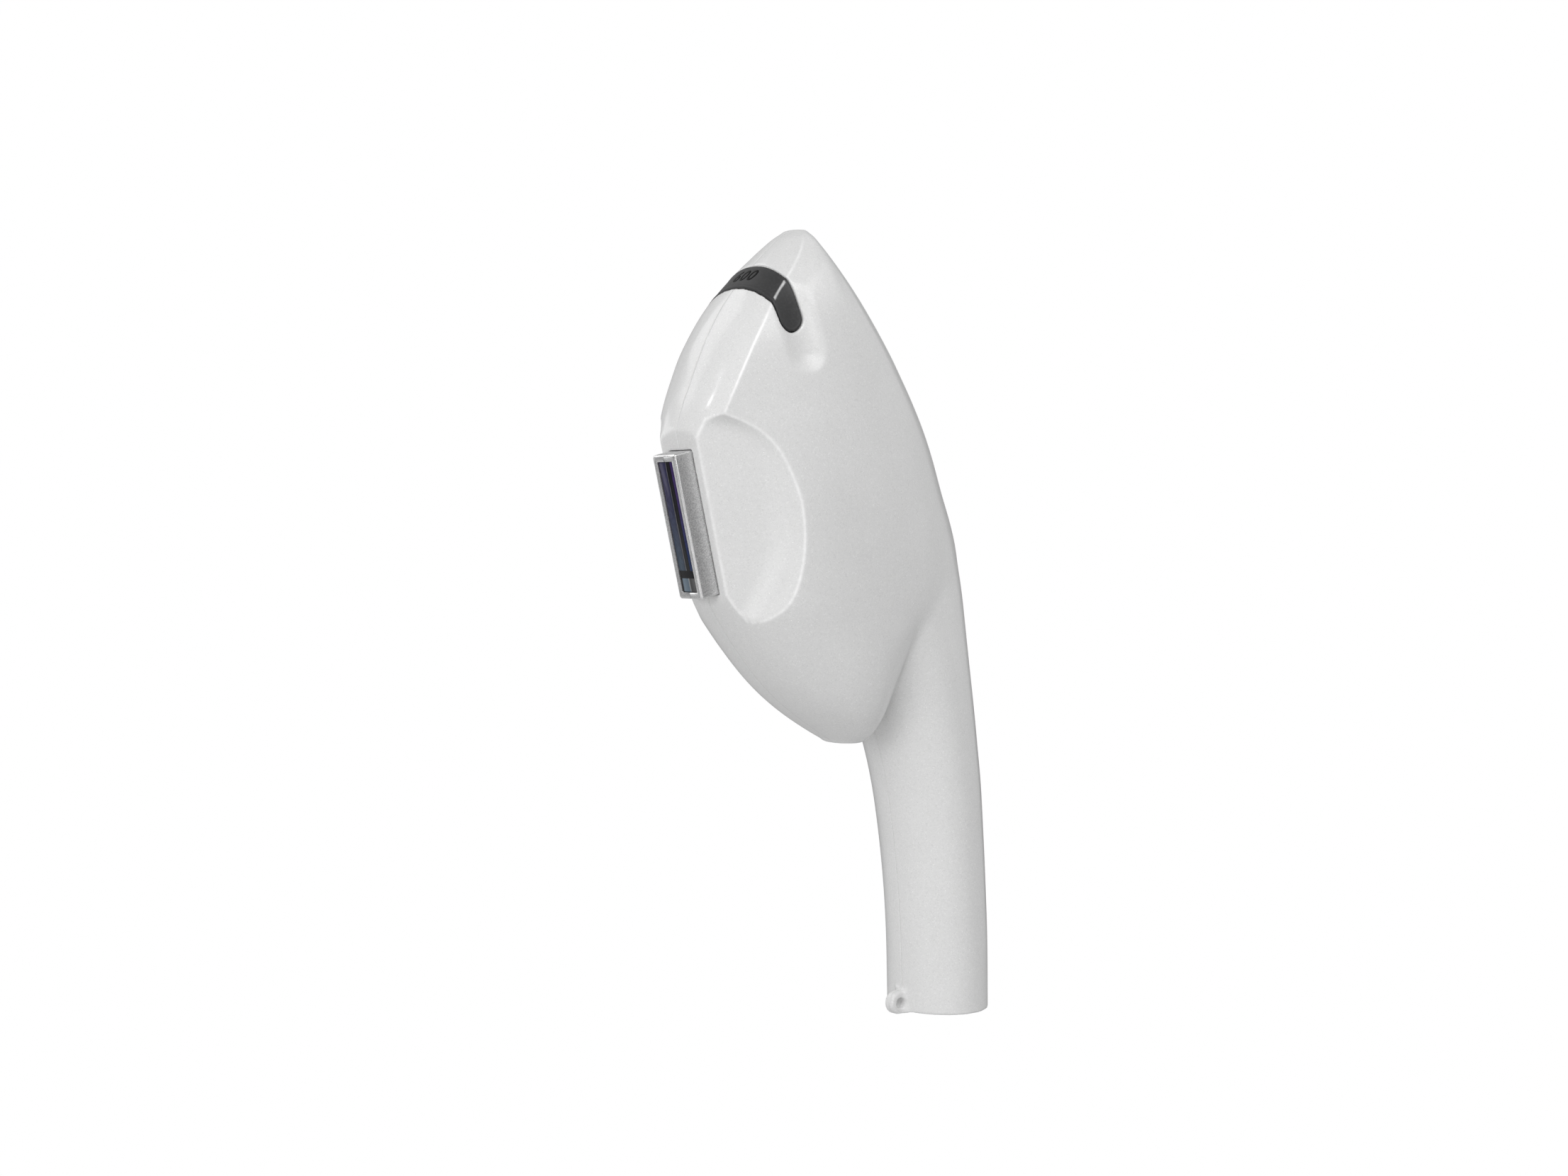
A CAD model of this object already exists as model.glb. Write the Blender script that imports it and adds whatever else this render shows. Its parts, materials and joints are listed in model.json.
"""Handheld light handpiece: a two-part shell with a window, a filter cap and a fire button.

Object frame: the handle stands along +Z, the window faces -X (the front), and the shell
halves meet on the plane y = 0. Window frame: the object frame turned about Y by TILT, with
depth (towards the back), across (Y) and rise (up along the window).
Shapes are worked out in mm and written to meshes in metres; the stage is in metres.
"""
import bmesh
import bpy
import json
import math
import numpy as np
import openvdb as vdb
from mathutils import Matrix, Vector
from mathutils.bvhtree import BVHTree
from mathutils.kdtree import KDTree

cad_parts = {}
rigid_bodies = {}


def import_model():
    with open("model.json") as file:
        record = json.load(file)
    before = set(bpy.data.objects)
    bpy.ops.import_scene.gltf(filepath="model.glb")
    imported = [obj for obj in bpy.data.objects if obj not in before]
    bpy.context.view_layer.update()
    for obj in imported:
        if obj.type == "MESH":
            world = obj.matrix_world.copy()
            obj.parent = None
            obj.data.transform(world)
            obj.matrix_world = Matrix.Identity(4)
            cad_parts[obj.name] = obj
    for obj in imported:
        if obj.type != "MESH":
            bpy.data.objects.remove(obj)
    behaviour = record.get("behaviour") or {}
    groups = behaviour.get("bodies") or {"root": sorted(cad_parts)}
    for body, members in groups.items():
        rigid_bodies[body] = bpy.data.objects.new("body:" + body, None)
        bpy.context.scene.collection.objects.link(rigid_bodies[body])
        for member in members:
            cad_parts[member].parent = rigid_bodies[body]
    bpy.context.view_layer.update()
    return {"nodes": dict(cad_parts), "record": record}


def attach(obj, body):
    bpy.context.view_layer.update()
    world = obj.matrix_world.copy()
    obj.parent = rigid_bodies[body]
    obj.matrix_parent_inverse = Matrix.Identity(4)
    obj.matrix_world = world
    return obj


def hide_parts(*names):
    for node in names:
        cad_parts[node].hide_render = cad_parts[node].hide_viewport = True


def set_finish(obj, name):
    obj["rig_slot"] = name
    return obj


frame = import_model()
MM = 0.001
SHELL_STEP = 0.38       # grid step of the shell, mm
DETAIL_STEP = 0.25     # grid step of the cap and button, mm
SLOTS = {part["node"]: part["material_slot"] for part in frame["record"]["subparts"]}

# ------------------------------------------------------------------ dimensions, mm
TILT = math.radians(13.3)
TILT_COS, TILT_SIN = math.cos(TILT), math.sin(TILT)
WALL = 2.4

# window: depths and mid rise in the window frame, then outside and aperture sizes
NOSE_DEPTH, FACE_DEPTH, WINDOW_RISE = -58.5, -64.8, 174.1
FRAME_L, FRAME_W = 43.4, 11.4
APERTURE_L, APERTURE_W = 39.3, 7.4
GUIDE_GAP = 0.1
GUIDE_HALF_W, GUIDE_HALF_L = APERTURE_W / 2 - GUIDE_GAP, APERTURE_L / 2 - GUIDE_GAP

# flats beside the window: corners as (depth, half across)
NOSE_HALF = 9.4
FACET_1, FACET_2 = (-41.5, 18.8), (-33.7, 28.4)
FACET_SLOPE_1 = (FACET_1[1] - NOSE_HALF) / (FACET_1[0] - NOSE_DEPTH)
FACET_SLOPE_2 = (FACET_2[1] - FACET_1[1]) / (FACET_2[0] - FACET_1[0])

# band over the top of the head, in depth and rise, with round lower ends
BAND_FRONT, BAND_BACK, BAND_END = -27.6, -19.6, 223.6
BAND_MID, BAND_HALF = (BAND_FRONT + BAND_BACK) / 2, (BAND_BACK - BAND_FRONT) / 2
BAND_TURN = BAND_END + BAND_HALF          # rise of the centre of the round end
SLOT_GAP = 0.15

# bores in the foot of the handle
SEAT_R, SEAT_TOP = 12.5, 18.0
NECK_X, NECK_R, NECK_BOTTOM, NECK_TOP = -0.4, 10.6, 16.0, 26.0
CAVITY_BOTTOM = 24.5
FOOT_Z = -0.55
LUG_X, LUG_Z, LUG_R, LUG_HOLE_R, LUG_HALF = -17.25, 2.9, 3.7, 1.65, 1.9
LUG_HOLE_BACK = -13.5                     # the hole is not cut behind this x

BUTTON_Z, BUTTON_H, BUTTON_W = 126.0, 19.0, 9.6
BUTTON_HOLE_GAP, BUTTON_PAD_GAP = 0.05, 0.18
BUTTON_HOLE_FRONT = -4.0
DISH_X, DISH_R, DISH_STRETCH = 33.0, 28.6, 0.45

SCOOP_LOW, SCOOP_HIGH, SCOOP_R = (-73.1, 29.0, 207.3), (-80.6, 22.4, 238.0), 8.6

# screw bosses as (x, z), and the blind holes into them from the +Y side
BOSSES = [(-50.5, 215.0), (-28.0, 180.0), (-18.0, 150.0),
          (-66.0, 112.0), (-49.0, 101.0), (6.0, 66.0)]
BOSS_R, BOSS_INSET = 3.3, 1.0
SCREW_R, SCREW_FLOOR_Y, SCREW_MARGIN = 3.0, 6.05, 6.0

# height, front x, crease x, crease half width, softness, widest x, half width, back x
HEAD = [
    (88.6, -45.4, -43.8, 6.0, 1.0, -39.5, 8.5, -34.6),
    (91.2, -49.8, -47.4, 8.6, 1.0, -40.0, 13.0, -33.2),
    (95.9, -57.6, -53.6, 11.3, 1.0, -41.0, 17.0, -31.0),
    (103.0, -67.5, -61.6, 13.3, 1.0, -43.0, 20.3, -27.5),
    (110.0, -75.0, -68.4, 14.3, 1.0, -45.0, 22.3, -23.5),
    (116.3, -80.4, -73.9, 15.0, 1.0, -46.0, 23.5, -19.0),
    (124.0, -86.4, -80.2, 15.6, 1.0, -46.5, 24.5, -11.0),
    (134.0, -92.8, -87.3, 16.2, 0.95, -47.0, 25.3, -1.5),
    (140.0, -95.7, -90.2, 16.2, 0.93, -47.0, 25.6, 1.8),
    (146.0, -98.7, -93.2, 16.2, 0.9, -47.0, 25.8, 1.8),
    (155.0, -102.0, -96.6, 15.8, 0.8, -46.5, 26.0, -0.5),
    (165.0, -104.2, -98.9, 15.3, 0.6, -46.5, 26.0, -5.0),
    (176.0, -104.9, -99.6, 15.0, 0.35, -47.5, 25.8, -9.3),
    (187.0, -102.4, -97.9, 16.0, 0.1, -51.0, 25.3, -14.2),
    (191.0, -101.0, -96.4, 16.8, 0.0, -52.4, 25.0, -16.4),
    (196.0, -98.7, -94.2, 17.5, 0.0, -54.0, 24.7, -19.3),
    (200.5, -97.0, -92.1, 17.8, 0.0, -55.3, 24.3, -22.3),
    (205.0, -95.0, -90.1, 18.2, 0.0, -56.5, 24.0, -25.2),
    (213.0, -91.1, -85.5, 18.05, 0.0, -58.0, 23.0, -31.2),
    (222.0, -85.3, -79.8, 16.75, 0.0, -59.6, 21.5, -38.7),
    (228.6, -79.8, -73.8, 15.25, 0.0, -60.0, 19.5, -44.9),
    (234.0, -74.4, -68.9, 13.5, 0.0, -60.0, 17.0, -50.4),
    (239.0, -69.0, -64.1, 10.4, 0.1, -60.2, 13.3, -54.8),
    (242.2, -65.4, -61.8, 7.6, 0.4, -59.6, 9.6, -56.0),
    (244.3, -62.3, -60.4, 4.4, 0.8, -58.9, 5.6, -56.9),
]
APEX = (-58.9, 245.2)                     # x, z
LOBE_TIP = (-40.6, 87.3)                  # x, z
TIP_SCALE = 0.05                          # size of the last ring at either tip
# height, centre x, half depth, half width
HANDLE = [
    (0.0, 0.0, 15.3, 17.4), (22.0, -0.4, 15.4, 17.5), (36.0, -1.2, 15.5, 17.6),
    (50.0, -2.4, 15.8, 17.9), (64.0, -4.0, 16.2, 18.4), (73.0, -5.2, 16.6, 18.9),
    (82.6, -7.2, 17.1, 19.4), (92.0, -9.4, 18.1, 20.0), (102.0, -12.0, 19.2, 20.6),
    (115.0, -15.5, 21.0, 21.1), (130.0, -20.4, 24.9, 20.8), (140.0, -23.4, 26.7, 20.5),
    (150.0, -27.2, 28.0, 20.2), (155.0, -29.4, 28.3, 20.0), (162.0, -33.2, 27.9, 18.8),
    (172.0, -40.0, 26.0, 16.0), (182.0, -48.0, 22.0, 12.0),
]
HANDLE_SIDES = 96


# ------------------------------------------------------------------ curves and sections
def window_axes(x, z):
    """Depth and rise in the window frame of a place in the object frame."""
    return x * TILT_COS + z * TILT_SIN, -x * TILT_SIN + z * TILT_COS


def pchip(x, y, at):
    """Monotone cubic interpolation of y(x)."""
    width, slope = np.diff(x), np.diff(y) / np.diff(x)
    tangent = np.zeros_like(y)
    tangent[0], tangent[-1] = slope[0], slope[-1]
    w1, w2 = 2 * width[1:] + width[:-1], width[1:] + 2 * width[:-1]
    same_sign = slope[:-1] * slope[1:] > 0
    with np.errstate(divide="ignore", invalid="ignore"):
        mean = (w1 + w2) / (w1 / slope[:-1] + w2 / slope[1:])
    tangent[1:-1] = np.where(same_sign, mean, 0.0)
    i = np.clip(np.searchsorted(x, at, side="right") - 1, 0, len(width) - 1)
    t = (at - x[i]) / width[i]
    return ((2 * t ** 3 - 3 * t ** 2 + 1) * y[i]
            + (t ** 3 - 2 * t ** 2 + t) * width[i] * tangent[i]
            + (-2 * t ** 3 + 3 * t ** 2) * y[i + 1]
            + (t ** 3 - t ** 2) * width[i] * tangent[i + 1])


def smooth_table(table, step, sigma):
    """Every column resampled at an even step and smoothed along the height, ends kept."""
    rows = np.array(table, float)
    count = int(round((rows[-1, 0] - rows[0, 0]) / step)) + 1
    z = np.linspace(rows[0, 0], rows[-1, 0], count)
    reach = int(3 * sigma / step)
    kernel = np.exp(-0.5 * (np.arange(-reach, reach + 1) * step / sigma) ** 2)
    kernel /= kernel.sum()
    columns = [z]
    inside = np.clip(np.minimum(z - z[0], z[-1] - z) / (2.0 * sigma), 0, 1)
    for c in range(1, rows.shape[1]):
        v = pchip(rows[:, 0], rows[:, c], z)
        padded = np.concatenate([2 * v[0] - v[reach:0:-1], v, 2 * v[-1] - v[-2:-reach - 2:-1]])
        smooth = np.convolve(padded, kernel, mode="valid")
        columns.append(v * (1 - inside) + smooth * inside)
    return np.stack(columns, 1)


def head_table(step=1.0):
    return smooth_table(HEAD, step, sigma=2.6)


def bezier(points, t):
    p = [np.asarray(q, float) for q in points]
    t = t[:, None]
    return ((1 - t) ** 3 * p[0] + 3 * (1 - t) ** 2 * t * p[1]
            + 3 * (1 - t) * t * t * p[2] + t ** 3 * p[3])


def unit2(x, y):
    length = math.hypot(x, y)
    return x / length, y / length


def head_section(row, count):
    """Closed outline (x, y) of the head at one height, from three curves a side."""
    z, front, crease_x, crease_half, soft, wide_x, half, back = row
    # how far the front curve is pulled forward: less on the upper head
    pull = 0.62 - (0.20 * min(1.0, max(0.0, (z - 176.0) / 16.0))
                   * min(1.0, max(0.0, (241.0 - z) / 5.0)))
    pulled = pull * (crease_x - front)
    # a soft crease leaves along the front curve, a sharp one turns towards the side
    smooth_dir = unit2(pulled, 0.20 * crease_half)
    sharp_dir = unit2(0.30 * (wide_x - crease_x), 0.55 * (half - crease_half))
    dir_x, dir_y = unit2(sharp_dir[0] * (1 - soft) + smooth_dir[0] * soft,
                         sharp_dir[1] * (1 - soft) + smooth_dir[1] * soft)
    run = 0.38 * math.hypot(wide_x - crease_x, half - crease_half)
    round_k = 0.5523                      # handle length of a quarter ellipse
    crease, widest = (crease_x, crease_half), (wide_x, half)
    front_curve = [(front, 0), (front, 0.55 * crease_half),
                   (crease_x - pulled, 0.80 * crease_half), crease]
    side_curve = [crease,
                  (crease_x + dir_x * run, min(crease_half + dir_y * run * 0.9, half)),
                  (wide_x - 0.40 * (wide_x - crease_x), half), widest]
    back_curve = [widest, (wide_x + round_k * 1.05 * (back - wide_x), half),
                  (back, half * round_k), (back, 0)]
    t = np.linspace(0, 1, count)
    one_side = np.vstack([bezier(front_curve, t)[:-1], bezier(side_curve, t)[:-1],
                          bezier(back_curve, t)])
    return np.vstack([one_side, one_side[-2:0:-1] * np.array([1, -1])])


def tube_mesh(rings):
    """Points, quads and triangles through equal rings, with fans at both ends."""
    n, m = len(rings[0]), len(rings)
    i = np.arange(n)
    j = (i + 1) % n
    quads = [np.stack([k * n + i, k * n + j, (k + 1) * n + j, (k + 1) * n + i], 1)
             for k in range(m - 1)]
    low, high = m * n, m * n + 1
    points = np.vstack([np.vstack(rings), rings[0].mean(0), rings[-1].mean(0)])
    fans = [np.stack([j, i, np.full(n, low)], 1),
            np.stack([(m - 1) * n + i, (m - 1) * n + j, np.full(n, high)], 1)]
    return (points.astype(np.float32), np.vstack(quads).astype(np.uint32),
            np.vstack(fans).astype(np.uint32))


def level_ring(outline, z):
    return np.column_stack([outline, np.full(len(outline), z)])


def scaled_ring(section, centre_x, scale, z):
    centre = np.array([centre_x, 0])
    return level_ring(centre + (section - centre) * scale, z)


def head_mesh(bottom, top):
    """The head between two heights, domed at the lobe tip and the apex."""
    table = head_table()
    sections = [head_section(row, 28) for row in table]
    first_z, last_z = table[0, 0], table[-1, 0]
    rings = []
    for t in (0.0, 0.35, 0.7, 0.9):
        scale = math.sqrt(1 - (1 - t) ** 2) if t else TIP_SCALE
        z = LOBE_TIP[1] + (first_z - LOBE_TIP[1]) * t
        rings.append(scaled_ring(sections[0], LOBE_TIP[0], scale, z))
    rings += [level_ring(section, row[0]) for section, row in zip(sections, table)]
    for t in (0.3, 0.6, 0.85, 1.0):
        scale = math.sqrt(1 - t * t) if t < 1 else TIP_SCALE
        z = last_z + (APEX[1] - last_z) * t
        rings.append(scaled_ring(sections[-1], APEX[0], scale, z))
    return tube_mesh([ring for ring in rings if bottom <= ring[0, 2] <= top])


def handle_mesh(bottom, top):
    """Elliptical handle between two heights."""
    angle = np.linspace(0, 2 * math.pi, HANDLE_SIDES, endpoint=False)
    rings = []
    for z, centre_x, half_depth, half_width in smooth_table(HANDLE, step=1.5, sigma=5.0):
        if bottom <= z <= top:
            ellipse = [centre_x - half_depth * np.cos(angle), half_width * np.sin(angle)]
            rings.append(level_ring(np.column_stack(ellipse), z))
    return tube_mesh(rings)


# ------------------------------------------------------------------ distance fields
class Grid:
    """A box of samples of a distance field, negative inside; object frame, mm."""

    def __init__(self, low, high, step):
        self.step = step
        self.start = np.floor(np.array(low) / step).astype(int)
        end = np.ceil(np.array(high) / step).astype(int)
        self.shape = tuple(int(k) for k in end - self.start + 1)
        x, y, z = [(self.start[k] + np.arange(self.shape[k])).astype(np.float32) * step
                   for k in range(3)]
        self.x, self.y, self.z = x[:, None, None], y[None, :, None], z[None, None, :]
        self.across = np.abs(self.y)
        self.depth, self.rise = window_axes(self.x, self.z)
        self.transform = vdb.createLinearTransform(voxelSize=step)

    def origin(self):
        return tuple(int(k) for k in self.start)

    def span(self, axis, low, high):
        """Slice of samples between two places on an axis."""
        base = self.start[axis] * self.step
        return slice(int((low - base) / self.step), int((high - base) / self.step))

    def of_mesh(self, mesh, reach):
        points, quads, triangles = mesh
        grid = vdb.FloatGrid.createLevelSetFromPolygons(
            points, triangles=triangles, quads=quads, transform=self.transform,
            halfWidth=float(reach / self.step))
        field = np.empty(self.shape, np.float32)
        grid.copyToArray(field, ijk=self.origin())
        return field

    def mesh(self, field):
        """Points and quads of the zero surface; without adaptivity there are only quads."""
        limit = 3.0
        grid = vdb.FloatGrid(limit)
        clipped = np.ascontiguousarray(np.clip(field, -limit, limit), dtype=np.float32)
        grid.copyFromArray(clipped, ijk=self.origin())
        grid.transform = self.transform
        points, _, quads = grid.convertToPolygons(isovalue=0.0, adaptivity=0.0)
        return points, quads


def smin(a, b, soft):
    """Union with a rounded joint."""
    h = np.clip(0.5 + 0.5 * (b - a) / soft, 0, 1)
    return b + (a - b) * h - soft * h * (1 - h)


def smax(a, b, soft):
    """Intersection with a rounded edge."""
    return -smin(-a, -b, soft)


def smoothstep(t):
    return t * t * (3 - 2 * t)


def radius(a, b):
    return np.sqrt(a ** 2 + b ** 2)


def blur(field, sigma):
    """Separable Gaussian, sigma in samples."""
    reach = max(1, int(math.ceil(2.5 * sigma)))
    kernel = np.exp(-0.5 * (np.arange(-reach, reach + 1) / sigma) ** 2)
    kernel = (kernel / kernel.sum()).astype(np.float32)
    for axis in range(3):
        pad = [(0, 0)] * 3
        pad[axis] = (reach, reach)
        padded = np.pad(field, pad, mode="edge")
        total = np.zeros_like(field)
        for i, weight in enumerate(kernel):
            window = [slice(None)] * 3
            window[axis] = slice(i, i + field.shape[axis])
            total += weight * padded[tuple(window)]
        field = total
    return field


def capsule(g, start, end, r, side):
    start, end = np.array(start, np.float32), np.array(end, np.float32)
    d = end - start
    x, y, z = g.x - start[0], g.y * side - start[1], g.z - start[2]
    t = np.clip((x * d[0] + y * d[1] + z * d[2]) / float(d @ d), 0, 1)
    return np.sqrt((x - t * d[0]) ** 2 + (y - t * d[1]) ** 2 + (z - t * d[2]) ** 2) - r


def band_field(g, gap):
    off = np.abs(g.depth - BAND_MID)
    end = np.sqrt(off * off + (g.rise - BAND_TURN) ** 2)
    return np.where(g.rise > BAND_TURN, off, end) - (BAND_HALF + gap)


def round_rect(a, b, half_a, half_b, r):
    """Distance to a rounded rectangle in two coordinates."""
    qa, qb = np.abs(a) - (half_a - r), np.abs(b) - (half_b - r)
    outside = np.sqrt(np.maximum(qa, 0) ** 2 + np.maximum(qb, 0) ** 2)
    return outside + np.minimum(np.maximum(qa, qb), 0) - r


def facet_lines(across, depth, rise):
    """How far a place lies outside each of the two flats, measured across."""
    q = rise - (WINDOW_RISE + 6.0)
    # the outer flat bows away from mid height, faster above than below
    bow = np.minimum(np.where(q > 0, 0.0006 * q ** 3, 0.0058 * q ** 2), 30.0) - 0.9
    inner = across - (NOSE_HALF + (depth - NOSE_DEPTH) * FACET_SLOPE_1)
    outer = across - (FACET_1[1] + (depth - FACET_1[0] + bow) * FACET_SLOPE_2)
    return inner, outer


def head_field(g, bottom, top, reach):
    """Head with the flats beside the window cut."""
    head = blur(g.of_mesh(head_mesh(bottom, top), reach), max(0.8, 0.34 / g.step))
    inner, outer = facet_lines(g.across, g.depth, g.rise)
    inner = inner / math.sqrt(1 + FACET_SLOPE_1 * FACET_SLOPE_1)
    outer = outer / math.sqrt(1 + FACET_SLOPE_2 * FACET_SLOPE_2)
    cut = smax(smin(inner, outer, soft=2.4), NOSE_DEPTH - g.depth, soft=0.9)
    return smax(head, cut, soft=0.45)


def body_field(g, bottom=-1e9, top=1e9, reach=7.6):
    """Outside form of the whole handpiece, between two heights."""
    body = head_field(g, bottom, top, reach)
    if bottom <= 190:                     # above this there is no handle
        handle = g.of_mesh(handle_mesh(bottom, top), reach)
        # the joint is widest at the upper front
        forward = np.clip((-14.0 - g.x) / 14.0, 0, 1)
        up = np.clip((g.z - 118.0) / 30.0, 0, 1)
        body = smin(body, handle, 1.5 + 5.5 * smoothstep(forward) * smoothstep(up))
    for side in (1, -1):
        body = smax(body, -capsule(g, SCOOP_LOW, SCOOP_HIGH, SCOOP_R, side), soft=1.6)
    return body


def hollow_field(g, outside):
    """Space inside the wall, with the seat and neck bores at the foot."""
    hollow = np.maximum(outside + WALL, CAVITY_BOTTOM - g.z)
    seat = np.maximum(radius(g.x, g.y) - SEAT_R, g.z - SEAT_TOP)
    neck = np.maximum(radius(g.x - NECK_X, g.y) - NECK_R,
                      np.maximum(NECK_BOTTOM - g.z, g.z - NECK_TOP))
    return np.minimum(np.minimum(hollow, seat), neck)


def shell_field(g):
    """Both shell halves in one, with every opening cut."""
    lug_radius = radius(g.x - LUG_X, g.z - LUG_Z)
    lug = smax(lug_radius - LUG_R, g.across - LUG_HALF, soft=0.7)
    outside = smin(body_field(g), lug, soft=2.2)
    outside = smax(outside, -g.z + FOOT_Z, soft=0.3)
    shell = smax(outside, -hollow_field(g, outside), soft=0.5)
    for x, z in BOSSES:
        boss = np.maximum(radius(g.x - x, g.z - z) - BOSS_R, outside + BOSS_INSET)
        shell = np.minimum(shell, boss)
    limit = np.where(g.x < LUG_HOLE_BACK, 0.0, -9.0)
    shell = smax(shell, LUG_HOLE_R - lug_radius + limit, soft=0.5)
    shell = smax(shell, -band_field(g, SLOT_GAP + 0.10), soft=0.40)
    nose = round_rect(g.y, g.rise - WINDOW_RISE, FRAME_W / 2 + 0.12, FRAME_L / 2 + 0.12, r=0.5)
    shell = smax(shell, -np.maximum(nose, g.depth + 50.0), soft=0.4)
    hole = round_rect(g.y, g.z - BUTTON_Z, BUTTON_W / 2 + BUTTON_HOLE_GAP,
                      BUTTON_H / 2 + BUTTON_HOLE_GAP, r=BUTTON_W / 2 - 0.1)
    return smax(shell, -np.maximum(hole, BUTTON_HOLE_FRONT - g.x), soft=0.5)


# ------------------------------------------------------------------ mesh helpers
def link_object(name, data):
    ob = bpy.data.objects.new(name, data)
    bpy.context.scene.collection.objects.link(ob)
    return ob


def quad_object(name, points, quads):
    """Smooth object from arrays in mm, wound outwards."""
    p = np.asarray(points, np.float64)
    corner = p[quads[:, 0]]
    volume = 0.0
    for i in (1, 2):
        across = np.cross(p[quads[:, i]], p[quads[:, i + 1]])
        volume += np.einsum("ij,ij->i", corner, across).sum()
    count = len(quads)
    me = bpy.data.meshes.new(name)
    me.vertices.add(len(p))
    me.vertices.foreach_set("co", (p * MM).astype(np.float32).ravel())
    me.loops.add(count * 4)
    me.polygons.add(count)
    me.loops.foreach_set("vertex_index", quads.ravel().astype(np.int32))
    me.polygons.foreach_set("loop_start", np.arange(count, dtype=np.int32) * 4)
    me.polygons.foreach_set("loop_total", np.full(count, 4, np.int32))
    me.polygons.foreach_set("use_smooth", np.ones(count, bool))
    me.update(calc_edges=True)
    me.validate()
    if volume < 0:
        me.flip_normals()
    return link_object(name, me)


def register(ob, carrier, slot):
    """Tell the frame what carries the skin, which piece it replaces and its material slot."""
    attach(ob, carrier)
    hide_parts(ob.name.replace("_skin", ""))
    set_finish(ob, slot)


def points_mm(ob):
    co = np.empty(len(ob.data.vertices) * 3, np.float32)
    ob.data.vertices.foreach_get("co", co)
    return co.reshape(-1, 3) / MM


def point_attribute(ob, name, values):
    attribute = ob.data.attributes.new(name, "FLOAT", "POINT")
    attribute.data.foreach_set("value", values.astype(np.float32))


def fold_distance(points, back_shift):
    """Distance at each height from the crease between the front and side of the head."""
    table = head_table()
    fold_x = np.interp(points[:, 2], table[:, 0], table[:, 2])
    fold_y = np.interp(points[:, 2], table[:, 0], table[:, 3])
    return np.hypot(points[:, 0] - fold_x - back_shift, np.abs(points[:, 1]) - fold_y + 0.1)


def bvh_of(ob):
    return BVHTree.FromPolygons([v.co[:] for v in ob.data.vertices],
                                [p.vertices[:] for p in ob.data.polygons])


def apply_modifiers(ob):
    depsgraph = bpy.context.evaluated_depsgraph_get()
    me = bpy.data.meshes.new_from_object(ob.evaluated_get(depsgraph))
    ob.modifiers.clear()
    ob.data = me


def add_bevel(ob, width, angle):
    """Two-segment bevel: width in mm, angle limit in degrees."""
    bevel = ob.modifiers.new("edge", "BEVEL")
    bevel.width, bevel.segments = width * MM, 2
    bevel.limit_method, bevel.angle_limit = "ANGLE", math.radians(angle)


# ------------------------------------------------------------------ shells
def facet_edges():
    """Points on the rim of the flats, from the same sections and cuts as the skin."""
    count = 60
    rim = []
    for row in head_table(step=0.25):
        z = row[0]
        if not 126.0 < z < 200.0:
            continue
        p = head_section(row, count)[:90]
        depth, rise = window_axes(p[:, 0], z)
        inner, outer = facet_lines(p[:, 1], depth, rise)
        cut = np.maximum(np.minimum(inner, outer), NOSE_DEPTH - depth)
        for i in np.nonzero((cut[:-1] > 0) != (cut[1:] > 0))[0]:
            t = cut[i] / (cut[i] - cut[i + 1])
            x, y = p[i] * (1 - t) + p[i + 1] * t
            if y > NOSE_HALF - 0.3:
                rim.append((x, y, z))
        nose_x = (NOSE_DEPTH - z * TILT_SIN) / TILT_COS
        if np.interp(NOSE_HALF, p[:count, 1], p[:count, 0]) < nose_x - 0.05:
            rim.append((nose_x, NOSE_HALF, z))
    return rim


def mark_folds(ob):
    """Nearness of each point to the crease and the rim of the flats, as 'fold'."""
    points = points_mm(ob)
    z = points[:, 2]
    run = np.clip((z - 184.0) / 8.0, 0, 1) * np.clip((243.0 - z) / 4.0, 0, 1)
    mark = np.exp(-(fold_distance(points, back_shift=0.12) / 0.42) ** 2) * run * 0.85
    rim = facet_edges()
    tree = KDTree(len(rim))
    for i, place in enumerate(rim):
        tree.insert(place, i)
    tree.balance()
    low, high = np.min(rim, 0) - 1.5, np.max(rim, 0) + 1.5
    mirrored = np.column_stack([points[:, 0], np.abs(points[:, 1]), z])
    for i in np.nonzero(((mirrored > low) & (mirrored < high)).all(1))[0]:
        distance = tree.find(mirrored[i])[2]
        if distance < 1.2:
            mark[i] = max(mark[i], 0.8 * math.exp(-(distance / 0.45) ** 2))
    point_attribute(ob, "fold", mark)


def slice_faces(bm, faces, offset, normal, **options):
    geometry = (faces + list({e for f in faces for e in f.edges})
                + list({v for f in faces for v in f.verts}))
    return bmesh.ops.bisect_plane(bm, geom=geometry, dist=1e-8, plane_co=normal * offset,
                                  plane_no=normal, **options)


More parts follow.
